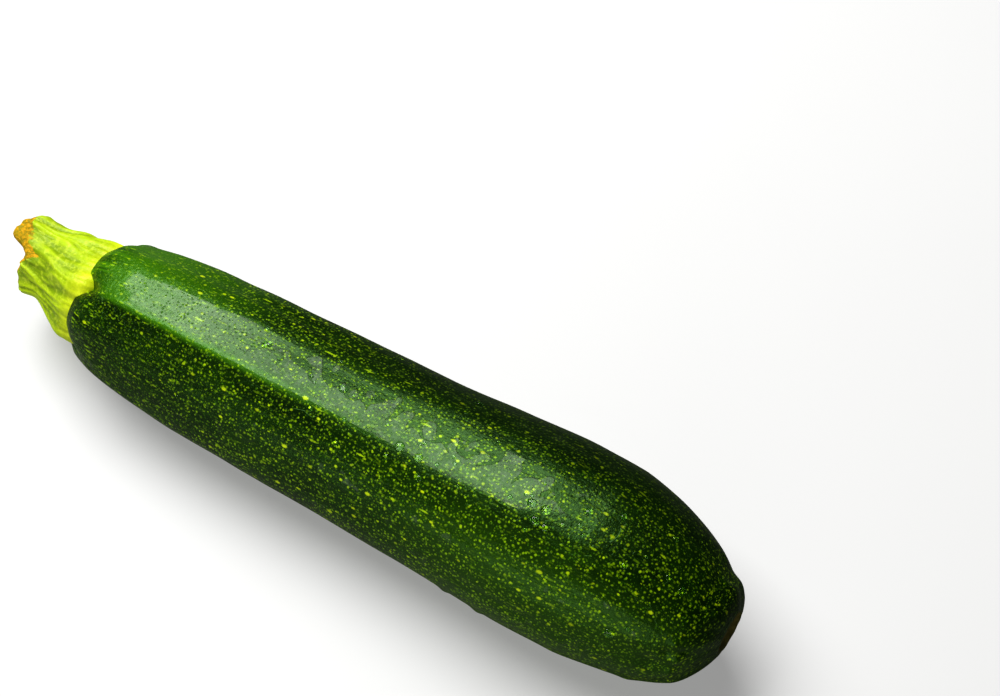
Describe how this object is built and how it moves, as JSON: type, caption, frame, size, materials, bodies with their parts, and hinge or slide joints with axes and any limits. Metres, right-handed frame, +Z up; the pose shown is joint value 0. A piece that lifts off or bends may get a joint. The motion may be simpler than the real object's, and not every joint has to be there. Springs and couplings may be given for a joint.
{
  "type": "courgette",
  "caption": "Fresh dark green courgette lying on its side, speckled, with a blunt blossom end and a flared, ribbed stub of pale stem.",
  "frame": {"origin": "on the plane the courgette rests on, under the middle of its box", "axes": "+X from the stem to the blossom end, +Z up"},
  "size_m": [0.195, 0.0454, 0.0448],
  "materials": {
    "skin": "smooth waxy skin, dark green with yellow-green specks, damp sheen",
    "stem": "satin, fibrous, pale yellow-green with lengthwise ribs and an amber dried cut"
  },
  "bodies": {
    "root": {"fruit": "skin", "stem": "stem"}
  },
  "joints": []
}
